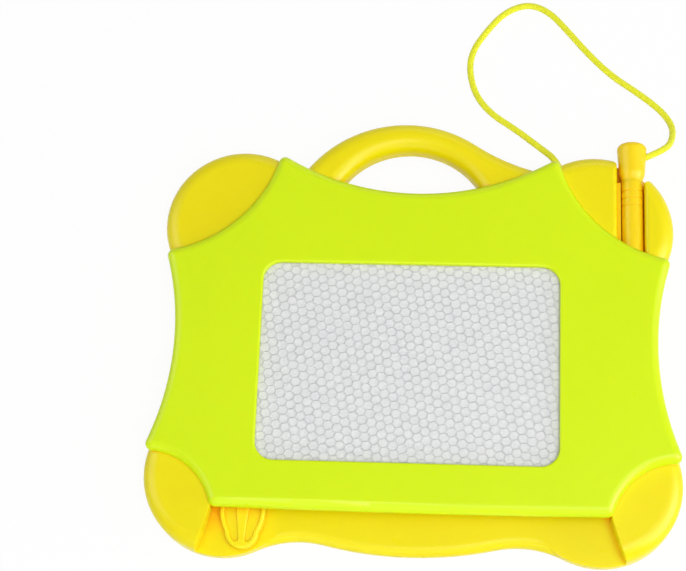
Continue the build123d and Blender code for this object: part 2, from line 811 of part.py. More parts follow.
# Back cover, seated on the body's bosses
cover_top = cover_recess + cover_thickness
with BuildPart() as back_cover:
    with BuildSketch(Plane.XY.offset(cover_recess)):
        add(apron_outline(body_wall + seat_gap))
        add(plate_outline(body_wall + seat_gap))
        with Locations(top_left_lobe, top_right_lobe):
            Circle(lobe_radius - body_wall - seat_gap)
    extrude(amount=cover_thickness)
    with BuildSketch(Plane.XY.offset(cover_recess)):
        with Locations(*screw_places):
            Circle(cover_post_radius)
    extrude(amount=boss_base_height - cover_recess)
    with Locations(*[Location((x, y, cover_recess), (180, 0, 0)) for x, y in screw_places]):
        CounterBoreHole(
            radius=screw_radius + screw_hole_gap,
            counter_bore_radius=screw_head_radius + screw_head_gap,
            counter_bore_depth=screw_head_depth,
            depth=body_height,
        )

    # Rail under the far end of the eraser's bar
    with BuildSketch(Plane.XY.offset(cover_top)):
        with Locations((0, guide_y - eraser_guide_length / 2)):
            Rectangle(2 * opening_half_length, cover_rail_width)
    extrude(amount=bar_base - sliding_gap - cover_top)
back_cover.part.label = "back_cover"

screw_seat = cover_recess + screw_head_depth
with BuildPart() as cover_screws:
    with BuildSketch(Plane.XY.offset(screw_seat - screw_head_height)):
        with Locations(*screw_places):
            Circle(screw_head_radius)
    extrude(amount=screw_head_height)
    with BuildSketch(Plane.XY.offset(screw_seat)):
        with Locations(*screw_places):
            Circle(screw_radius)
    extrude(amount=screw_length)
    chamfer(cover_screws.edges().group_by(Axis.Z)[-1], length=screw_radius / 2)
    fillet(cover_screws.edges().group_by(Axis.Z)[0], radius=screw_head_height / 3)
    with BuildSketch(Plane.XY.offset(screw_seat - screw_head_height)):
        with Locations(*screw_places):
            Rectangle(screw_cross_length, screw_cross_width)
            Rectangle(screw_cross_width, screw_cross_length)
    extrude(amount=screw_cross_depth, mode=Mode.SUBTRACT)
cover_screws.part.label = "cover_screws"

# Cord from the body to the pen. Its first two points follow the hole in the body, its
# last two the hole in the pen's cap, and the rest were chosen by hand.
cord_start_reach = lobe_radius + cord_exit_reach
cord_start = on_circle(top_right_lobe, cord_start_reach, cord_exit_angle)
cord_clear = on_circle(top_right_lobe, cord_start_reach + cord_exit_run, cord_exit_angle)
cord_end = on_circle((pen_x, cord_hole_y), cord_end_reach, cord_hole_tilt)
cord_bend = on_circle((pen_x, cord_hole_y), cord_end_reach + cord_pen_run, cord_hole_tilt)
cord_route = [
    (*cord_start, cord_exit_z),
    (*cord_clear, cord_exit_z),
    (47.8, 79.4, 2.0),
    (37.6, 87.8, 1.3),
    (27.9, 94.2, 1.3),
    (21.4, 102.2, 1.3),
    (18.6, 113.2, 1.3),
    (19.9, 122.0, 1.3),
    (25.8, 131.1, 1.3),
    (32.7, 139.1, 1.3),
    (41.9, 142.9, 1.3),
    (50.3, 139.7, 1.3),
    (57.6, 131.5, 1.3),
    (66.1, 121.0, 1.3),
    (75.4, 111.5, 1.3),
    (86.3, 103.9, 1.3),
    (95.2, 96.5, 1.3),
    (99.4, 89.0, 2.9),
    (98.0, 80.6, 6.9),
    (*cord_bend, pen_z),
    (*cord_end, pen_z),
]
route = [Vector(*point) for point in cord_route]
runs = [end - start for start, end in zip(route, route[1:])]
bend_radii = []
for run, next_run in zip(runs, runs[1:]):
    half_turn = math.radians(run.get_angle(next_run)) / 2
    bend_radii.append(0.45 * min(run.length, next_run.length) / math.tan(half_turn))

with BuildPart() as cord:
    with BuildLine() as cord_path:
        FilletPolyline(*route, radius=bend_radii)
    with BuildSketch(Plane(origin=route[0], z_dir=runs[0])):
        Circle(cord_radius)
    sweep(path=cord_path.wire())
cord.part.label = "cord"


def knot_profile(plane, stub):
    """Draw half the section of a knot, with a stub of cord along the plane's X axis."""
    with BuildSketch(plane) as profile:
        Circle(knot_radius)
        Rectangle(stub, cord_radius, align=Align.MIN)
        Rectangle(
            2 * knot_radius, knot_radius, align=(Align.CENTER, Align.MAX), mode=Mode.SUBTRACT
        )
    return profile.sketch


knot_reach = lobe_radius - body_wall - knot_radius - screw_gap
board_knot_plane = Plane(
    origin=cord_plane.offset(knot_reach).origin, x_dir=cord_direction, z_dir=(0, 0, 1)
)
with BuildPart() as cord_board_knot:
    add(knot_profile(board_knot_plane, cord_start_reach - knot_reach))
    revolve(axis=Axis(board_knot_plane.origin, cord_direction))
cord_board_knot.part.label = "cord_board_knot"

with BuildPart() as cord_pen_knot:
    add(knot_profile(pen_knot_plane, pen_stub_reach))
    revolve(axis=Axis(pen_knot_plane.origin, pen_knot_plane.x_dir))
cord_pen_knot.part.label = "cord_pen_knot"

print("cord bends, radius in mm:", [round(radius, 1) for radius in bend_radii])
print("cord length in mm:", round(cord_path.wire().length, 1))
tube_volume = cord_path.wire().length * math.pi * cord_radius**2
print("cord volume against section times length:", round(cord.part.volume / tube_volume, 4))

pieces = (
    main_body,
    front_bezel,
    back_cover,
    cover_screws,
    screen_back_film,
    screen_cell_sheet,
    screen_edge_seal,
    screen_front_film,
    eraser_slider,
    eraser_magnet,
    pen_barrel,
    pen_cap,
    pen_magnet,
    cord,
    cord_board_knot,
    cord_pen_knot,
)
for piece in pieces:
    export_step(piece.part, f"parts/{piece.part.label}.step")
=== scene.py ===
"""Looks of a magnetic drawing board.

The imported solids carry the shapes. This script gives each of them its finish, models the
honeycomb of the screen and the twisted cord with its knots, and sets up the studio.
"""

import logging
import math
from dataclasses import dataclass
from enum import Enum

import bpy
from mathutils import Matrix, Vector


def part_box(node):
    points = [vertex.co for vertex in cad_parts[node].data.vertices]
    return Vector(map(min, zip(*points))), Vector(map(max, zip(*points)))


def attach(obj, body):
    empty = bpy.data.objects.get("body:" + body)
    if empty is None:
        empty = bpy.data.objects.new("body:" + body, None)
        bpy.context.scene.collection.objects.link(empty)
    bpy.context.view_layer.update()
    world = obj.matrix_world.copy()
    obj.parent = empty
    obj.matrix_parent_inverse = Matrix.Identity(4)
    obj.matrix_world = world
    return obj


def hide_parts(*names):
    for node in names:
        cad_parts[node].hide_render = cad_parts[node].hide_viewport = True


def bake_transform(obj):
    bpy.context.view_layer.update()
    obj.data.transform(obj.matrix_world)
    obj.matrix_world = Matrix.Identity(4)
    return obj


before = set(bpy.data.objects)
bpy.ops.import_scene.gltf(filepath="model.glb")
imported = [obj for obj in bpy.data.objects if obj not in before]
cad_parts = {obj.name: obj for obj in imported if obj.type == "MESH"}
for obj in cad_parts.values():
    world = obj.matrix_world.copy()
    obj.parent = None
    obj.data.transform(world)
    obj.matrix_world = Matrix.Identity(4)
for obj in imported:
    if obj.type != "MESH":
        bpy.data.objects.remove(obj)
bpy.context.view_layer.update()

log = logging.getLogger("drawing_board")

MM = 0.001

Colour = tuple[float, float, float, float]
Point = tuple[float, float, float]
Range = tuple[float, float]
Socket = bpy.types.NodeSocket

WHOLE: Range = (0.0, 1.0)


class Body(Enum):
    """The bodies that the screen's cells and the cord ride on."""

    BOARD = "board"
    PEN = "pen"


class Slot(Enum):
    """The record's material slots."""

    YELLOW = "yellow_plastic"
    LIME = "lime_plastic"
    ORANGE = "orange_plastic"
    CLEAR_FILM = "clear_film"
    CELLS = "white_cells"
    SEAL = "white_seal"
    BACK_FILM = "grey_film"
    MAGNET_STRIP = "magnet_strip"
    MAGNET_METAL = "magnet_metal"
    SCREWS = "screw_steel"
    CORD = "yellow_cord"


def seen_as(red: int, green: int, blue: int) -> Colour:
    """Turn a colour as a screen shows it into linear light.

    Args:
        red: Red, from 0 to 255.
        green: Green, from 0 to 255.
        blue: Blue, from 0 to 255.

    Returns:
        The linear colour with full alpha.
    """
    straight_end, straight_slope = 0.04045, 12.92
    curve_offset, curve_power = 0.055, 2.4
    linear = []
    for value in (red, green, blue):
        share = value / 255
        if share <= straight_end:
            linear.append(share / straight_slope)
        else:
            linear.append(((share + curve_offset) / (1 + curve_offset)) ** curve_power)
    return (*linear, 1.0)


class FinishGraph:
    """The shader nodes of one finish, read on the piece's own coordinates in millimetres."""

    def __init__(self, name: str) -> None:
        """Start a material that holds only its main shader.

        Args:
            name: The finish's name.
        """
        self.material = bpy.data.materials.new(name)
        self.material.use_nodes = True
        self.tree = self.material.node_tree
        self.shader = self.tree.nodes["Principled BSDF"]

    def node(self, kind: str, **settings: object) -> bpy.types.Node:
        """Add a node and set its properties.

        Args:
            kind: The node's type.
            **settings: Properties of the node and their values.

        Returns:
            The new node.
        """
        made = self.tree.nodes.new(kind)
        for name, value in settings.items():
            setattr(made, name, value)
        return made

    def feed(self, source: Socket, target: Socket) -> None:
        """Link an output to an input."""
        self.tree.links.new(source, target)

    def fill(self, target: Socket, value: object) -> None:
        """Link an output to an input, or set the input where the value is a fixed one.

        Args:
            target: The input.
            value: The output of a node, or a fixed value.
        """
        if isinstance(value, Socket):
            self.feed(value, target)
        else:
            target.default_value = value

    def set_shader(self, **inputs: object) -> None:
        """Fill inputs of the main shader, named with underscores for spaces."""
        for name, value in inputs.items():
            self.fill(self.shader.inputs[name.replace("_", " ")], value)

    def mapped(self, source: str, scale: Point, turn: float) -> Socket:
        """Give scaled and turned coordinates.

        Args:
            source: The name of the coordinates, Object or UV.
            scale: The factor along each axis.
            turn: The turn about Z in degrees.

        Returns:
            The coordinate output.
        """
        mapping = self.node("ShaderNodeMapping")
        mapping.inputs["Rotation"].default_value = (0.0, 0.0, math.radians(turn))
        mapping.inputs["Scale"].default_value = scale
        self.feed(self.node("ShaderNodeTexCoord").outputs[source], mapping.inputs["Vector"])
        return mapping.outputs["Vector"]

    def place(self, stretch: Point = (1.0, 1.0, 1.0), turn: float = 0.0) -> Socket:
        """Give the piece's own coordinates in millimetres, stretched and turned in degrees."""
        return self.mapped("Object", tuple(1 / (MM * share) for share in stretch), turn)

    def cloud(
        self,
        place: Socket,
        size: float,
        detail: float = 2.0,
        contrast: Range = (0.3, 0.7),
    ) -> Socket:
        """Add soft noise that runs from 0 to 1.

        Args:
            place: The coordinates to read.
            size: The size of its patches in millimetres.
            detail: How many finer layers it has.
            contrast: The noise values that become 0 and 1.

        Returns:
            The noise's value.
        """
        noise = self.node("ShaderNodeTexNoise")
        noise.inputs["Scale"].default_value = 1 / size
        noise.inputs["Detail"].default_value = detail
        self.feed(place, noise.inputs["Vector"])
        return self.spread(noise.outputs["Fac"], WHOLE, contrast)

    def spread(self, value: Socket, target: Range, source: Range = WHOLE) -> Socket:
        """Move a value from one range to another, and keep it inside.

        Args:
            value: The value to move.
            target: The range that it goes to.
            source: The range that it comes from.

        Returns:
            The moved value.
        """
        ranged = self.node("ShaderNodeMapRange")
        ranged.inputs["From Min"].default_value, ranged.inputs["From Max"].default_value = source
        ranged.inputs["To Min"].default_value, ranged.inputs["To Max"].default_value = target
        self.feed(value, ranged.inputs["Value"])
        return ranged.outputs["Result"]

    def combine(self, operation: str, *values: float | Socket) -> Socket:
        """Combine values by arithmetic.

        Args:
            operation: The operation's name.
            *values: What it works on, in order, fixed or from other nodes.

        Returns:
            The result.
        """
        step = self.node("ShaderNodeMath", operation=operation)
        for target, value in zip(step.inputs, values):
            self.fill(target, value)
        return step.outputs["Value"]

    def tint(self, amount: Socket, low: Colour | Socket, high: Colour) -> Socket:
        """Mix two colours.

        Args:
            amount: The share of the second colour.
            low: The first colour, fixed or from another node.
            high: The second colour.

        Returns:
            The mixed colour.
        """
        mix = self.node("ShaderNodeMix", data_type="RGBA")
        self.feed(amount, mix.inputs["Factor"])
        self.fill(mix.inputs["A"], low)
        self.fill(mix.inputs["B"], high)
        return mix.outputs["Result"]

    def relief(self, height: Socket, depth: float, under: Socket | None = None) -> Socket:
        """Turn a height from 0 to 1 into a bumped normal.

        Args:
            height: The height.
            depth: What 1 stands for, in millimetres.
            under: The normal that this relief lies on.

        Returns:
            The normal.
        """
        bump = self.node("ShaderNodeBump")
        bump.inputs["Distance"].default_value = depth * MM
        self.feed(height, bump.inputs["Height"])
        if under is not None:
            self.feed(under, bump.inputs["Normal"])
        return bump.outputs["Normal"]


@dataclass(frozen=True)
class MouldedPlastic:
    """Satin injection-moulded plastic: slightly mottled, with fine grain and faint hairlines.

    Light passes a little way through it, and red, green and blue get to different shares of the
    glow's depth.
    Its recesses are also painted a warmer colour where little of the sky reaches them, which is
    painted shade. Its sizes, depths and reaches are in millimetres.
    """

    name: str
    colour: Colour
    deep_colour: Colour
    painted_shade_colour: Colour
    roughness: float = 0.3
    gloss: float = 0.2
    grain_size: float = 0.3
    grain_depth: float = 0.002
    swell_size: float = 16.0
    swell_depth: float = 0.03
    patch_size: float = 42.0
    patch_share: float = 0.55
    mottle_size: float = 3.5
    mottle_share: float = 0.16
    mottle_contrast: Range = (0.15, 0.85)
    mottle_roughness: Range = (-0.04, 0.06)
    hairline_width: float = 0.6
    hairline_stretch: float = 60.0
    hairline_turn: float = 24.0
    hairline_contrast: Range = (0.5, 0.9)
    hairline_wear: float = 0.05
    painted_shade_reach: float = 7.0
    painted_shade_samples: int = 12
    painted_shade_range: Range = (0.72, 0.34)
    wall_allowance: float = 0.24
    wall_steepness: Range = (0.2, 0.8)
    glow_share: float = 0.4
    glow_by_colour: Point = (1.0, 0.8, 0.05)
    glow_depth: float = 2.0

    def material(self) -> bpy.types.Material:
        """Build the finish.

        Returns:
            The material.
        """
        graph = FinishGraph(self.name)
        mottle = graph.cloud(
            graph.place(), self.mottle_size, detail=1.0, contrast=self.mottle_contrast
        )
        graph.set_shader(
            Base_Color=self.shade(graph, mottle),
            Roughness=self.wear(graph, mottle),
            Normal=self.surface(graph),
            Specular_IOR_Level=self.gloss,
            Subsurface_Weight=self.glow_share,
            Subsurface_Radius=self.glow_by_colour,
            Subsurface_Scale=self.glow_depth * MM,
        )
        return graph.material

    def shade(self, graph: FinishGraph, mottle: Socket) -> Socket:
        """Vary the plastic's colour in large patches and small mottle, and paint shade in its
        recesses.

        Args:
            graph: The finish to add the nodes to.
            mottle: The small mottle.

        Returns:
            The colour.
        """
        patches = graph.cloud(graph.place(), self.patch_size, detail=1.0)
        patched = graph.spread(patches, (0.0, self.patch_share))
        mottled = graph.spread(mottle, (0.0, self.mottle_share))
        # Painted shade: where a place sees little of the sky, its colour goes towards the painted
        # shade colour
        painted_shade_share = graph.spread(self.openness(graph), WHOLE, self.painted_shade_range)
        body = graph.tint(patched, self.colour, self.deep_colour)
        body = graph.tint(mottled, body, self.deep_colour)
        return graph.tint(painted_shade_share, body, self.painted_shade_colour)

    def wear(self, graph: FinishGraph, mottle: Socket) -> Socket:
        """Dull the plastic along faint hairlines.

        Args:
            graph: The finish to add the nodes to.
            mottle: The small mottle.

        Returns:
            The roughness.
        """
        along = graph.place((1.0, self.hairline_stretch, 1.0), self.hairline_turn)
        hairlines = graph.cloud(
            along, self.hairline_width, detail=1.0, contrast=self.hairline_contrast
        )
        lower, raised = self.mottle_roughness
        dull = graph.spread(mottle, (self.roughness + lower, self.roughness + raised))
        return graph.combine("MULTIPLY_ADD", hairlines, self.hairline_wear, dull)

    def surface(self, graph: FinishGraph) -> Socket:
        """Give the plastic the slow swell of a moulded face and its fine grain.

        Args:
            graph: The finish to add the nodes to.

        Returns:
            The normal.
        """
        place = graph.place()
        swell = graph.cloud(place, self.swell_size, detail=0.0, contrast=WHOLE)
        grain = graph.cloud(place, self.grain_size, detail=3.0)
        return graph.relief(grain, self.grain_depth, graph.relief(swell, self.swell_depth))

    def openness(self, graph: FinishGraph) -> Socket:
        """Tell how open a place is, from 0 deep in a gap to 1 on an open face, for the painted
        shade.

        Half of what an upright wall sees is the ground that it stands on, so a steep face is
        allowed for before it counts as a recess.

        Args:
            graph: The finish to add the nodes to.

        Returns:
            The openness.
        """
        occlusion = graph.node("ShaderNodeAmbientOcclusion", samples=self.painted_shade_samples)
        occlusion.inputs["Distance"].default_value = self.painted_shade_reach * MM
        facing = graph.node("ShaderNodeNewGeometry")
        direction = graph.node("ShaderNodeSeparateXYZ")
        graph.feed(facing.outputs["Normal"], direction.inputs["Vector"])
        allowed = graph.spread(
            direction.outputs["Z"], (self.wall_allowance, 0.0), self.wall_steepness
        )
        return graph.combine("ADD", occlusion.outputs["AO"], allowed)


@dataclass(frozen=True)
class ClearFilm:
    """The thin clear film that the pen draws on, faintly hazed and streaked by use."""

    name: str = "clear_film"
    colour: Colour = seen_as(238, 240, 240)
    veil: float = 0.16
    streak_width: float = 0.7
    streak_stretch: float = 26.0
    streak_turn: float = -9.0
    streak_contrast: Range = (0.5, 0.75)
    streak_wear: float = 0.14
    haze_size: float = 9.0
    haze_depth: float = 0.01
    haze_roughness: Range = (0.12, 0.22)

    def material(self) -> bpy.types.Material:
        """Build the finish.

        Returns:
            The material.
        """
        graph = FinishGraph(self.name)
        along = graph.place((1.0, self.streak_stretch, 1.0), self.streak_turn)
        streaks = graph.cloud(along, self.streak_width, contrast=self.streak_contrast)
        haze = graph.cloud(graph.place(), self.haze_size, detail=3.0)
        dull = graph.spread(haze, self.haze_roughness)
        graph.set_shader(
            Base_Color=self.colour,
            Alpha=self.veil,
            Roughness=graph.combine("MULTIPLY_ADD", streaks, self.streak_wear, dull),
            Normal=graph.relief(haze, self.haze_depth),
        )
        return graph.material


@dataclass(frozen=True)
class CellWall:
    """The thin walls of the honeycomb, darker in patches."""

    name: str = "cell_wall"
    pale: Colour = seen_as(226, 226, 228)
    dark: Colour = seen_as(200, 200, 203)
    roughness: float = 0.45
    patch_size: float = 2.6
    patch_stretch: Point = (1.6, 1.0, 1.0)
    patch_contrast: Range = (0.35, 0.65)
    tooth_size: float = 0.4
    tooth_depth: float = 0.02

    def material(self) -> bpy.types.Material:
        """Build the finish.

        Returns:
            The material.
        """
        graph = FinishGraph(self.name)
        across = graph.place(self.patch_stretch)
        patches = graph.cloud(across, self.patch_size, contrast=self.patch_contrast)
        tooth = graph.cloud(graph.place(), self.tooth_size)
        graph.set_shader(
            Base_Color=graph.tint(patches, self.pale, self.dark),
            Roughness=self.roughness,
            Normal=graph.relief(tooth, self.tooth_depth),
        )
        return graph.material


@dataclass(frozen=True)
class CellFluid:
    """The milky fluid in the cells, with a little dark powder that the eraser left behind."""

    name: str = "cell_fluid"
    pale: Colour = seen_as(239, 239, 238)
    shade: Colour = seen_as(230, 230, 231)
    powder: Colour = seen_as(150, 150, 153)
    roughness: float = 0.5
    milk_size: float = 4.0
    powder_size: float = 0.35
    powder_contrast: Range = (0.66, 0.8)
    patch_size: float = 11.0
    patch_contrast: Range = (0.4, 0.75)
    ripple_size: float = 1.4
    ripple_depth: float = 0.05

    def material(self) -> bpy.types.Material:
        """Build the finish.

        Returns:
            The material.
        """
        graph = FinishGraph(self.name)
        place = graph.place()
        milk = graph.tint(graph.cloud(place, self.milk_size, detail=3.0), self.pale, self.shade)
        powder = graph.cloud(place, self.powder_size, contrast=self.powder_contrast)
        patches = graph.cloud(place, self.patch_size, contrast=self.patch_contrast)
        left_behind = graph.combine("MULTIPLY", powder, patches)
        graph.set_shader(
            Base_Color=graph.tint(left_behind, milk, self.powder),
            Roughness=self.roughness,
            Normal=graph.relief(graph.cloud(place, self.ripple_size), self.ripple_depth),
        )
        return graph.material


@dataclass(frozen=True)
class MattSheet:
    """A plain matt film, tape or bonded strip with a fine tooth."""

    name: str
    colour: Colour
    deep_colour: Colour
    roughness: float = 0.6
    roughness_rise: float = 0.15
    mottle_size: float = 2.5
    tooth_size: float = 0.25
    tooth_depth: float = 0.02

    def material(self) -> bpy.types.Material:
        """Build the finish.

        Returns:
            The material.
        """
        graph = FinishGraph(self.name)
        mottle = graph.cloud(graph.place(), self.mottle_size, detail=4.0)
        tooth = graph.cloud(graph.place(), self.tooth_size, detail=3.0)
        graph.set_shader(
            Base_Color=graph.tint(mottle, self.colour, self.deep_colour),
            Roughness=graph.spread(mottle, (self.roughness, self.roughness + self.roughness_rise)),
            Normal=graph.relief(tooth, self.tooth_depth),
        )
        return graph.material


@dataclass(frozen=True)
class DullMetal:
    """Plated or sintered metal with turning marks."""

    name: str
    colour: Colour
    deep_colour: Colour
    roughness: float = 0.34
    roughness_rise: float = 0.2
    bloom_size: float = 1.6
    mark_width: float = 0.15
    mark_stretch: float = 12.0
    mark_depth: float = 0.01

    def material(self) -> bpy.types.Material:
        """Build the finish.

        Returns:
            The material.
        """
        graph = FinishGraph(self.name)
        bloom = graph.cloud(graph.place(), self.bloom_size, detail=4.0)
        marks = graph.cloud(graph.place((self.mark_stretch, 1.0, 1.0)), self.mark_width)
        graph.set_shader(
            Base_Color=graph.tint(bloom, self.colour, self.deep_colour),
            Metallic=1.0,
            Roughness=graph.spread(bloom, (self.roughness, self.roughness + self.roughness_rise)),
            Normal=graph.relief(marks, self.mark_depth),
        )
        return graph.material


@dataclass(frozen=True)
class TwistedYarn:
    """The cord's soft yarn, with fibres that run round each strand.

    The fibres lie on the UV map, which runs along a strand in millimetres and once round it.
    """

    name: str = "twisted_yarn"
    colour: Colour = seen_as(242, 244, 60)
    deep_colour: Colour = seen_as(232, 233, 34)
    roughness: float = 0.78
    gloss: float = 0.1
    sheen: float = 0.6
    sheen_roughness: float = 0.4
    fibre_scale: Point = (1.1, 9.0, 1.0)
    fibre_turn: float = 12.0
    fibre_contrast: Range = (0.3, 0.68)
    fibre_depth: float = 0.03
    fuzz_size: float = 0.9
    fuzz_depth: float = 0.03

    def material(self) -> bpy.types.Material:
        """Build the finish.

        Returns:
            The material.
        """
        graph = FinishGraph(self.name)
        along = graph.mapped("UV", self.fibre_scale, self.fibre_turn)
        fibres = graph.cloud(along, size=1.0, detail=3.0, contrast=self.fibre_contrast)
        fuzz = graph.cloud(graph.place(), self.fuzz_size, detail=3.0)
        lie = graph.relief(fibres, self.fibre_depth)
        graph.set_shader(
            Base_Color=graph.tint(fibres, self.deep_colour, self.colour),
            Roughness=self.roughness,
            Normal=graph.relief(fuzz, self.fuzz_depth, lie),
            Specular_IOR_Level=self.gloss,
            Sheen_Weight=self.sheen,
            Sheen_Roughness=self.sheen_roughness,
        )
        return graph.material


# The third colour of each plastic is the painted shade of its recesses
YELLOW_PLASTIC = MouldedPlastic(
    "yellow_plastic", seen_as(243, 228, 0), seen_as(239, 221, 0), seen_as(255, 188, 0)
)
LIME_PLASTIC = MouldedPlastic(
    "lime_plastic", seen_as(217, 242, 8), seen_as(212, 238, 6), seen_as(220, 228, 0)
)
ORANGE_PLASTIC = MouldedPlastic(
    "orange_plastic", seen_as(255, 219, 18), seen_as(255, 215, 12), seen_as(255, 196, 0)
)
KNOB_PLASTIC = MouldedPlastic(
    "knob_plastic", seen_as(250, 232, 14), seen_as(247, 226, 8), seen_as(250, 200, 0)
)
COVER_PLASTIC = MouldedPlastic(
    "cover_plastic",
    seen_as(241, 226, 0),
    seen_as(236, 218, 0),
    seen_as(248, 190, 0),
    roughness=0.5,
    gloss=0.1,
    grain_depth=0.03,
)
SCREEN_TAPE = MattSheet("screen_tape", seen_as(232, 232, 226), seen_as(214, 214, 208))
BACK_FILM = MattSheet(
    "back_film", seen_as(222, 223, 224), seen_as(206, 207, 209), roughness=0.5
)
MAGNET_STRIP = MattSheet(
    "magnet_strip", seen_as(64, 58, 54), seen_as(44, 40, 38), roughness=0.7
)
SINTERED_MAGNET = DullMetal("sintered_magnet", seen_as(150, 150, 154), seen_as(104, 104, 108))
PLATED_STEEL = DullMetal(
    "plated_steel", seen_as(204, 204, 206), seen_as(160, 160, 160), roughness=0.28
)


def finish_piece(piece: bpy.types.Object, material: bpy.types.Material) -> None:
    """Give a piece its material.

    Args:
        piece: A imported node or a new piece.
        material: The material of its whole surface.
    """
    if not piece.material_slots:
        piece.data.materials.append(material)
    for place in piece.material_slots:
        place.material = material
    log.info("%s: %s, %d faces", piece.name, material.name, len(piece.data.polygons))


def finish_node(node: str, material: bpy.types.Material) -> None:
    """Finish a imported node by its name."""
    finish_piece(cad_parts[node], material)


def deselect() -> None:
    """Deselect every object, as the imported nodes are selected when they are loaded."""
    bpy.ops.object.select_all(action="DESELECT")


def activate(piece: bpy.types.Object) -> None:
    """Make a piece the only selected one and the active one.

    Args:
        piece: The piece to work on next.
    """
    deselect()
    piece.select_set(True)
    bpy.context.view_layer.objects.active = piece


def join(piece: bpy.types.Object, other: bpy.types.Object) -> None:
    """Join two pieces into one.

    Args:
        piece: The piece that keeps its name.
        other: The piece that becomes part of it.
    """
    activate(piece)
    other.select_set(True)
    bpy.ops.object.join()


def apply_modifiers(piece: bpy.types.Object) -> None:
    """Apply all modifiers of a piece in their order.

    Args:
        piece: The piece that they finish.
    """
    activate(piece)
    for modifier in list(piece.modifiers):
        bpy.ops.object.modifier_apply(modifier=modifier.name)


def settle(piece: bpy.types.Object) -> None:
    """Put a piece's place, turn and scale into its mesh."""
    activate(piece)
    bpy.ops.object.transform_apply(location=True, rotation=True, scale=True)


@dataclass
class Shell:
    """The board's mouldings: the body, the bezel and the back cover, and the cover's screws."""

    def build(self) -> None:
        """Finish the mouldings and the screws."""
        finish_node("main_body", YELLOW_PLASTIC.material())
        finish_node("front_bezel", LIME_PLASTIC.material())
        finish_node("back_cover", COVER_PLASTIC.material())
        finish_node("cover_screws", PLATED_STEEL.material())


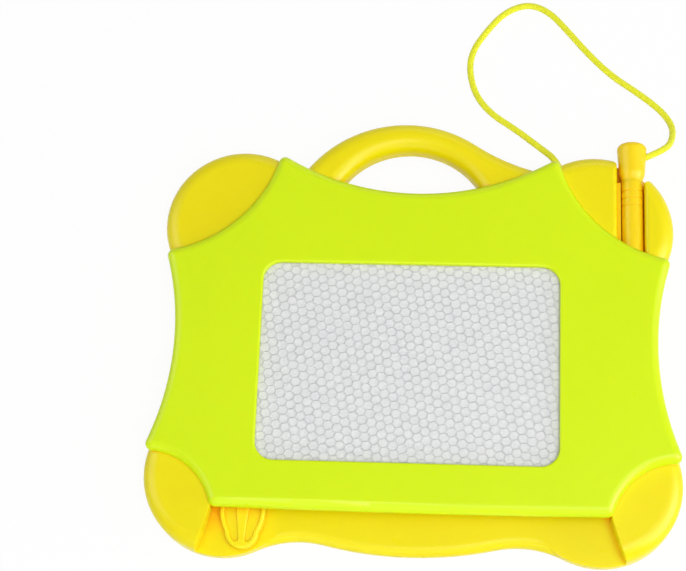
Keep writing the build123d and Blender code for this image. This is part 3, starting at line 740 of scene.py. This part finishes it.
@dataclass
class Screen:
    """The drawing screen: two films, a sealing tape and a honeycomb of cells with fluid.

    Sizes are in metres and the turn is in degrees. The pitches run between the cells of one
    column and between columns. Within the corner taper of a cell's corner its walls thin out.
    The cells wander along X, and by a share of that along Y.
    """

    row_pitch: float = 3.34 * MM
    column_pitch: float = 3.2 * MM
    turn: float = 10.7
    wall_width: float = 0.3 * MM
    wall_height: float = 0.25 * MM
    corner_taper: float = 0.5 * MM
    wander: float = 0.75 * MM
    wander_share: float = 0.8
    wander_size: float = 3.0 * MM
    edge_margin: float = 0.15 * MM

    def build(self) -> None:
        """Model the cells and finish the whole screen."""
        low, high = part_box("screen_cell_sheet")
        walls = self.honeycomb(low, high)
        fluid = self.fluid(low, high)
        finish_piece(walls, CellWall().material())
        finish_piece(fluid, CellFluid().material())
        for piece in (walls, fluid):
            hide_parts("screen_cell_sheet")
            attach(piece, Body.BOARD.value)
        finish_node("screen_front_film", ClearFilm().material())
        finish_node("screen_back_film", BACK_FILM.material())
        finish_node("screen_edge_seal", SCREEN_TAPE.material())

    def cell(self, place: Vector) -> bpy.types.Object:
        """Model the top faces of one cell's six walls, which thin out to its corners.

        Args:
            place: The cell's centre.

        Returns:
            The ring of walls, stretched along a line turned by 30 degrees from X.
        """
        # An even honeycomb whose flat sides face along Y has columns 1.5 corner radii apart
        corner_radius = self.row_pitch / math.sqrt(3)
        even_column_pitch = 1.5 * corner_radius
        deselect()
        bpy.ops.mesh.primitive_circle_add(
            vertices=6,
            radius=corner_radius,
            fill_type="NGON",
            location=place,
            rotation=(0.0, 0.0, math.radians(30.0)),
        )
        ring = bpy.context.object
        ring.name = "cell_walls"
        ring.scale = (self.column_pitch / even_column_pitch, 1.0, 1.0)
        settle(ring)
        bpy.ops.object.mode_set(mode="EDIT")
        bpy.ops.mesh.select_all(action="SELECT")
        # The bevel cuts triangles off the inner face, and they are taken out along with it
        bpy.ops.mesh.inset(thickness=self.wall_width / 2)
        bpy.ops.mesh.bevel(offset=self.corner_taper, segments=1, affect="VERTICES")
        bpy.ops.mesh.delete(type="FACE")
        bpy.ops.object.mode_set(mode="OBJECT")
        return ring

    def honeycomb(self, low: Vector, high: Vector) -> bpy.types.Object:
        """Model the honeycomb's walls.

        Args:
            low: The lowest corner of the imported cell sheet.
            high: Its highest corner.

        Returns:
            The walls, in one mesh with a closed ring for each cell.
        """
        centre = (low + high) / 2
        reach = (high - low).length / 2
        column_pairs = math.ceil(reach / self.column_pitch)
        rows = math.ceil(2 * reach / self.row_pitch)
        corner = Vector((centre.x - reach, centre.y - reach, high.z))
        first = self.cell(corner)
        other = self.cell(corner + Vector((self.column_pitch, self.row_pitch / 2, 0.0)))
        for ring in (first, other):
            self.repeat(ring, rows, (0.0, self.row_pitch, 0.0))
            self.repeat(ring, column_pairs, (2 * self.column_pitch, 0.0, 0.0))
        join(first, other)
        self.wander_about(first, centre)
        self.trim(first, low, high)
        wall = first.modifiers.new("wall", "SOLIDIFY")
        wall.thickness = self.wall_height
        wall.offset = -1.0
        apply_modifiers(first)
        return first

    def repeat(self, ring: bpy.types.Object, count: int, step: Point) -> None:
        """Repeat a ring at a fixed step.

        Args:
            ring: The mesh to repeat.
            count: How many there are in all.
            step: The step in metres.
        """
        array = ring.modifiers.new("array", "ARRAY")
        array.count = count
        array.use_relative_offset = False
        array.use_constant_offset = True
        array.constant_offset_displace = step
        apply_modifiers(ring)

    def wander_about(self, walls: bpy.types.Object, centre: Vector) -> None:
        """Merge doubled points, make the cells uneven and turn them as the board has them.

        Args:
            walls: The honeycomb's wall tops.
            centre: The point to turn about.
        """
        merge_distance = self.wall_width / 10
        bpy.ops.object.mode_set(mode="EDIT")
        bpy.ops.mesh.select_all(action="SELECT")
        bpy.ops.mesh.remove_doubles(threshold=merge_distance)
        bpy.ops.object.mode_set(mode="OBJECT")
        clouds = bpy.data.textures.new("cell_wander", "CLOUDS")
        clouds.noise_scale = self.wander_size
        clouds.cloud_type = "COLOR"
        for axis, strength in (("X", self.wander), ("Y", self.wander_share * self.wander)):
            shift = walls.modifiers.new("wander", "DISPLACE")
            shift.texture = clouds
            shift.texture_coords = "LOCAL"
            shift.direction = axis
            shift.strength = strength
            apply_modifiers(walls)
        turn = Matrix.Rotation(math.radians(self.turn), 4, "Z")
        walls.matrix_world = Matrix.Translation(centre) @ turn @ Matrix.Translation(-centre)
        settle(walls)

    def trim(self, walls: bpy.types.Object, low: Vector, high: Vector) -> None:
        """Cut the honeycomb a little inside the rectangle of the cell sheet.

        Args:
            walls: The honeycomb's wall tops.
            low: The lowest corner of the sheet.
            high: Its highest corner.
        """
        cuts = (
            (low, (-1.0, 0.0, 0.0)),
            (low, (0.0, -1.0, 0.0)),
            (high, (1.0, 0.0, 0.0)),
            (high, (0.0, 1.0, 0.0)),
        )
        activate(walls)
        bpy.ops.object.mode_set(mode="EDIT")
        for corner, outward in cuts:
            edge = corner - self.edge_margin * Vector(outward)
            bpy.ops.mesh.select_all(action="SELECT")
            bpy.ops.mesh.bisect(plane_co=edge, plane_no=outward, clear_outer=True)
        bpy.ops.object.mode_set(mode="OBJECT")

    def fluid(self, low: Vector, high: Vector) -> bpy.types.Object:
        """Model the layer of fluid under the walls.

        Args:
            low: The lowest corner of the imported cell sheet.
            high: Its highest corner.

        Returns:
            The fluid's layer.
        """
        deselect()
        size = high - low
        top = high.z - self.wall_height
        bpy.ops.mesh.primitive_cube_add(
            size=1.0,
            location=((low.x + high.x) / 2, (low.y + high.y) / 2, (low.z + top) / 2),
            scale=(size.x, size.y, top - low.z),
        )
        layer = bpy.context.object
        layer.name = "cell_fluid"
        settle(layer)
        soften = layer.modifiers.new("edge", "BEVEL")
        soften.width = self.edge_margin
        soften.segments = 2
        apply_modifiers(layer)
        return layer


@dataclass
class Eraser:
    """The eraser: a knob with its bar, and the magnet strip in it."""

    def build(self) -> None:
        """Finish the eraser's two pieces."""
        finish_node("eraser_slider", KNOB_PLASTIC.material())
        finish_node("eraser_magnet", MAGNET_STRIP.material())


@dataclass
class Pen:
    """The pen: its barrel, its cap and the magnet in its nose."""

    def build(self) -> None:
        """Finish the pen's three pieces."""
        orange = ORANGE_PLASTIC.material()
        finish_node("pen_barrel", orange)
        finish_node("pen_cap", orange)
        finish_node("pen_magnet", SINTERED_MAGNET.material())


@dataclass
class Cord:
    """The soft cord of fine strands round a core, from the board's top right lobe to the pen.

    Sizes are in metres. The lay is the length in which a strand goes round once. The route
    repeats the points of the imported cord.
    """

    diameter: float = 0.0026
    length: float = 0.199
    lay: float = 0.014
    strands: int = 12
    strand_share: float = 0.29
    core_share: float = 0.88
    line_steps: int = 20
    knot_ring: float = 0.00142
    knot_turns: float = 2.2
    knot_pitch: float = 0.0012
    knot_strand_share: float = 0.9
    knot_steps: int = 60
    stub_steps: int = 12
    board_knot_depth: float = 0.00525
    pen_knot_depth: float = 0.00723
    route: tuple[Point, ...] = (
        (0.05463, 0.07021, 0.0052),
        (0.05270, 0.07417, 0.0052),
        (0.0478, 0.0794, 0.0020),
        (0.0376, 0.0878, 0.0013),
        (0.0279, 0.0942, 0.0013),
        (0.0214, 0.1022, 0.0013),
        (0.0186, 0.1132, 0.0013),
        (0.0199, 0.1220, 0.0013),
        (0.0258, 0.1311, 0.0013),
        (0.0327, 0.1391, 0.0013),
        (0.0419, 0.1429, 0.0013),
        (0.0503, 0.1397, 0.0013),
        (0.0576, 0.1315, 0.0013),
        (0.0661, 0.1210, 0.0013),
        (0.0754, 0.1115, 0.0013),
        (0.0863, 0.1039, 0.0013),
        (0.0952, 0.0965, 0.0013),
        (0.0994, 0.0890, 0.0029),
        (0.0980, 0.0806, 0.0069),
        (0.09392, 0.07637, 0.0096),
        (0.08885, 0.07400, 0.0096),
    )

    def build(self) -> None:
        line = self.centreline()
        into_board = (line[0] - line[1]).normalized()
        into_pen = (line[-1] - line[-2]).normalized()
        cord = self.twist("twisted_cord", line)
        board_knot = self.knot("board_knot", line[0], into_board, self.board_knot_depth)
        pen_knot = self.knot("pen_knot", line[-1], into_pen, self.pen_knot_depth)
        yarn = TwistedYarn().material()
        for piece in (cord, board_knot, pen_knot):
            finish_piece(piece, yarn)
        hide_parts("cord")
        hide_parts("cord_board_knot")
        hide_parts("cord_pen_knot")
        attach(board_knot, Body.BOARD.value)
        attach(pen_knot, Body.PEN.value)
        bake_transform(cord)

    def centreline(self) -> list[Vector]:
        """Read the points of the smooth line that the route's points control.

        Returns:
            The line's points from the board to the pen.
        """
        curve = bpy.data.curves.new("cord_route", "CURVE")
        curve.dimensions = "3D"
        curve.resolution_u = self.line_steps
        spline = curve.splines.new("NURBS")
        spline.points.add(len(self.route) - 1)
        for point, place in zip(spline.points, self.route):
            point.co = (*place, 1.0)
        spline.order_u = 3
        spline.use_endpoint_u = True
        holder = bpy.data.objects.new("cord_route", curve)
        mesh = bpy.data.meshes.new_from_object(holder)
        line = [vertex.co.copy() for vertex in mesh.vertices]
        bpy.data.objects.remove(holder)
        bpy.data.meshes.remove(mesh)
        return line

    def twist(self, name: str, line: list[Vector]) -> bpy.types.Object:
        """Twist the strands about a core that follows a line.

        Args:
            name: The piece's name.
            line: The points of the cord's middle.

        Returns:
            The core and the strands as one piece.
        """
        strand_radius = self.strand_share * self.diameter / 2
        offset = self.diameter / 2 - strand_radius
        frames = side_frames(line)
        travelled = [0.0]
        for before, after in zip(line, line[1:]):
            travelled.append(travelled[-1] + (after - before).length)
        rounds = []
        for strand in range(self.strands):
            middle = []
            for point, (side, up), distance in zip(line, frames, travelled):
                angle = 2 * math.pi * (distance / self.lay + strand / self.strands)
                middle.append(point + around(side, up, angle, offset))
            rounds.append(middle)
        core = tube_piece(name, [line], self.core_share * self.diameter / 2)
        join(core, tube_piece(name + "_strands", rounds, strand_radius))
        return core

    def knot(self, name: str, mouth: Vector, inward: Vector, depth: float) -> bpy.types.Object:
        """Model a stopper knot: a stub of twisted cord that ends in a few tight turns.

        Args:
            name: The piece's name.
            mouth: The point where the stub meets the cord.
            inward: The direction from there to the knot.
            depth: The length from there to the knot's middle.

        Returns:
            The knot with its stub.
        """
        steps = self.stub_steps
        stub = [mouth + inward * depth * (step / steps) for step in range(steps + 1)]
        piece = self.twist(name, stub)
        side, up = side_frames([mouth, mouth + inward])[0]
        middle = mouth + inward * depth
        turns = []
        for step in range(self.knot_steps + 1):
            share = step / self.knot_steps
            angle = 2 * math.pi * self.knot_turns * share
            along = (share - 0.5) * self.knot_turns * self.knot_pitch
            turns.append(middle + inward * along + around(side, up, angle, self.knot_ring))
        strand_radius = self.knot_strand_share * self.diameter / 2
        join(piece, tube_piece(name + "_turns", [turns], strand_radius))
        return piece


def around(side: Vector, up: Vector, angle: float, radius: float) -> Vector:
    """Give the point of a circle that lies at an angle in radians from side towards up."""
    return radius * (math.cos(angle) * side + math.sin(angle) * up)


def side_frames(line: list[Vector]) -> list[tuple[Vector, Vector]]:
    """Carry two square directions along a line without letting them spin.

    Args:
        line: The line's points.

    Returns:
        For each point, two unit vectors square to the line and to each other.
    """
    frames = []
    side = None
    for index, point in enumerate(line):
        before = line[max(index - 1, 0)]
        after = line[min(index + 1, len(line) - 1)]
        along = (after - before).normalized()
        if side is None:
            side = along.orthogonal()
        side = (side - along * side.dot(along)).normalized()
        frames.append((side, along.cross(side)))
    return frames


def tube_piece(name: str, tubes: list[list[Vector]], radius: float) -> bpy.types.Object:
    """Model round closed tubes along lines of points.

    Args:
        name: The piece's name.
        tubes: The points of each tube's middle.
        radius: The tubes' radius.

    Returns:
        The tubes as one piece, whose UV map runs along them in millimetres and once round them.
    """
    merge_distance = radius / 50
    curve = bpy.data.curves.new(name, "CURVE")
    curve.dimensions = "3D"
    curve.bevel_depth = radius
    curve.bevel_resolution = 2
    curve.use_fill_caps = True
    for middle in tubes:
        spline = curve.splines.new("POLY")
        spline.use_smooth = True
        spline.points.add(len(middle) - 1)
        for point, place in zip(spline.points, middle):
            point.co = (*place, 1.0)
    piece = bpy.data.objects.new(name, curve)
    bpy.context.scene.collection.objects.link(piece)
    activate(piece)
    bpy.ops.object.convert(target="MESH")
    bpy.ops.object.mode_set(mode="EDIT")
    bpy.ops.mesh.select_all(action="SELECT")
    bpy.ops.mesh.remove_doubles(threshold=merge_distance)
    bpy.ops.mesh.normals_make_consistent(inside=False)
    bpy.ops.object.mode_set(mode="OBJECT")
    tube_length = sum((near - far).length for near, far in zip(tubes[0], tubes[0][1:]))
    for loop in piece.data.uv_layers.active.data:
        loop.uv.x *= tube_length / MM
    return piece


def background_rays(tree: bpy.types.NodeTree) -> Socket:
    """Tell the rays that show the background from those that carry its light.

    Args:
        tree: The node tree to add the nodes to.

    Returns:
        1 for what is seen straight, in gloss or through a clear film, and 0 for the rest.
    """
    path = tree.nodes.new("ShaderNodeLightPath")
    seen = path.outputs["Is Camera Ray"]
    for kind in ("Is Glossy Ray", "Is Transmission Ray"):
        larger = tree.nodes.new("ShaderNodeMath")
        larger.operation = "MAXIMUM"
        tree.links.new(seen, larger.inputs[0])
        tree.links.new(path.outputs[kind], larger.inputs[1])
        seen = larger.outputs["Value"]
    return seen


@dataclass(frozen=True)
class Lamp:
    """A soft square lamp that faces the board, or a panel that only shows in its gloss.

    Its place and size are in metres and its power is in watts.
    """

    name: str
    place: Point
    size: float
    power: float
    lights: bool = True

    def hang(self) -> None:
        """Hang the lamp at its place and turn it to the board."""
        light = bpy.data.lights.new(self.name, "AREA")
        light.shape = "SQUARE"
        light.size = self.size
        light.energy = self.power
        lamp = bpy.data.objects.new(self.name, light)
        lamp.location = self.place
        lamp.rotation_mode = "QUATERNION"
        lamp.rotation_quaternion = (-Vector(self.place)).to_track_quat("-Z", "Y")
        lamp.visible_diffuse = self.lights
        bpy.context.scene.collection.objects.link(lamp)


@dataclass
class Studio:
    """The pale floor, the soft light and the photograph's camera.

    The camera's lens and sensor are in millimetres, and the other sizes and places in metres.
    """

    lens: float = 94.46
    sensor_width: float = 36.0
    camera_place: Point = (0.0172, -0.18821, 0.6668)
    camera_right: Point = (0.99764, 0.03902, -0.05643)
    camera_up: Point = (-0.02021, 0.95317, 0.30177)
    camera_back: Point = (0.06556, -0.29992, 0.95171)
    floor_size: float = 6.0
    floor_colour: Colour = seen_as(248, 248, 248)
    floor_roughness: float = 0.8
    floor_glow_share: float = 0.93
    sky_strength: float = 0.42
    lamps: tuple[Lamp, ...] = (
        Lamp("front_key", (0.28, -0.35, 1.1), 0.7, 8.0),
        Lamp("right_fill", (1.1, -0.2, 0.25), 0.6, 4.0),
        Lamp("front_fill", (-0.4, -1.1, 0.3), 0.6, 1.8),
        Lamp("right_panel", (1.0, -0.3, 0.6), 1.0, 21.0, lights=False),
        Lamp("left_panel", (-0.9, 0.1, 0.62), 0.9, 9.0, lights=False),
        Lamp("front_panel", (0.0, -1.1, 0.6), 0.8, 3.6, lights=False),
        Lamp("back_panel", (0.1, 1.1, 0.5), 0.5, 1.6, lights=False),
    )

    def build(self) -> None:
        """Set up the camera, the floor, the sky and the lamps."""
        self.camera()
        self.floor()
        self.sky()
        for lamp in self.lamps:
            lamp.hang()
        bpy.context.scene.view_settings.view_transform = "Standard"

    def camera(self) -> None:
        """Place the camera as the photograph's was."""
        view = bpy.data.cameras.new("photo_camera")
        view.lens = self.lens
        view.sensor_fit = "HORIZONTAL"
        view.sensor_width = self.sensor_width
        camera = bpy.data.objects.new("photo_camera", view)
        turn = Matrix((self.camera_right, self.camera_up, self.camera_back)).transposed()
        camera.matrix_world = Matrix.Translation(self.camera_place) @ turn.to_4x4()
        bpy.context.scene.collection.objects.link(camera)
        bpy.context.scene.camera = camera

    def floor(self) -> None:
        """Lay the floor, which looks white and keeps the board's shadow."""
        deselect()
        bpy.ops.mesh.primitive_plane_add(size=self.floor_size, location=(0.0, 0.0, 0.0))
        floor = bpy.context.object
        floor.name = "floor"
        graph = FinishGraph("white_floor")
        graph.set_shader(
            Base_Color=self.floor_colour,
            Roughness=self.floor_roughness,
            Specular_IOR_Level=0.0,
        )
        glow = graph.node("ShaderNodeEmission")
        mix = graph.node("ShaderNodeMixShader")
        share = graph.spread(background_rays(graph.tree), (0.0, self.floor_glow_share))
        graph.feed(share, mix.inputs["Fac"])
        graph.feed(graph.shader.outputs["BSDF"], mix.inputs[1])
        graph.feed(glow.outputs["Emission"], mix.inputs[2])
        output = graph.tree.nodes["Material Output"]
        graph.feed(mix.outputs["Shader"], output.inputs["Surface"])
        floor.data.materials.append(graph.material)

    def sky(self) -> None:
        """Light the board evenly from all round, with white where the camera looks past it."""
        world = bpy.data.worlds.new("studio_sky")
        world.use_nodes = True
        tree = world.node_tree
        background = tree.nodes["Background"]
        background.inputs["Color"].default_value = (1.0, 1.0, 1.0, 1.0)
        strength = tree.nodes.new("ShaderNodeMapRange")
        strength.inputs["To Min"].default_value = self.sky_strength
        strength.inputs["To Max"].default_value = 1.0
        tree.links.new(background_rays(tree), strength.inputs["Value"])
        tree.links.new(strength.outputs["Result"], background.inputs["Strength"])
        bpy.context.scene.world = world


def main() -> None:
    """Build the studio, the cord and the board's sub-assemblies in order."""
    logging.basicConfig(level=logging.INFO, format="%(name)s: %(message)s")
    for part in (Studio(), Cord(), Shell(), Screen(), Eraser(), Pen()):
        log.info("building %s", type(part).__name__)
        part.build()


if __name__ == "__main__":
    main()
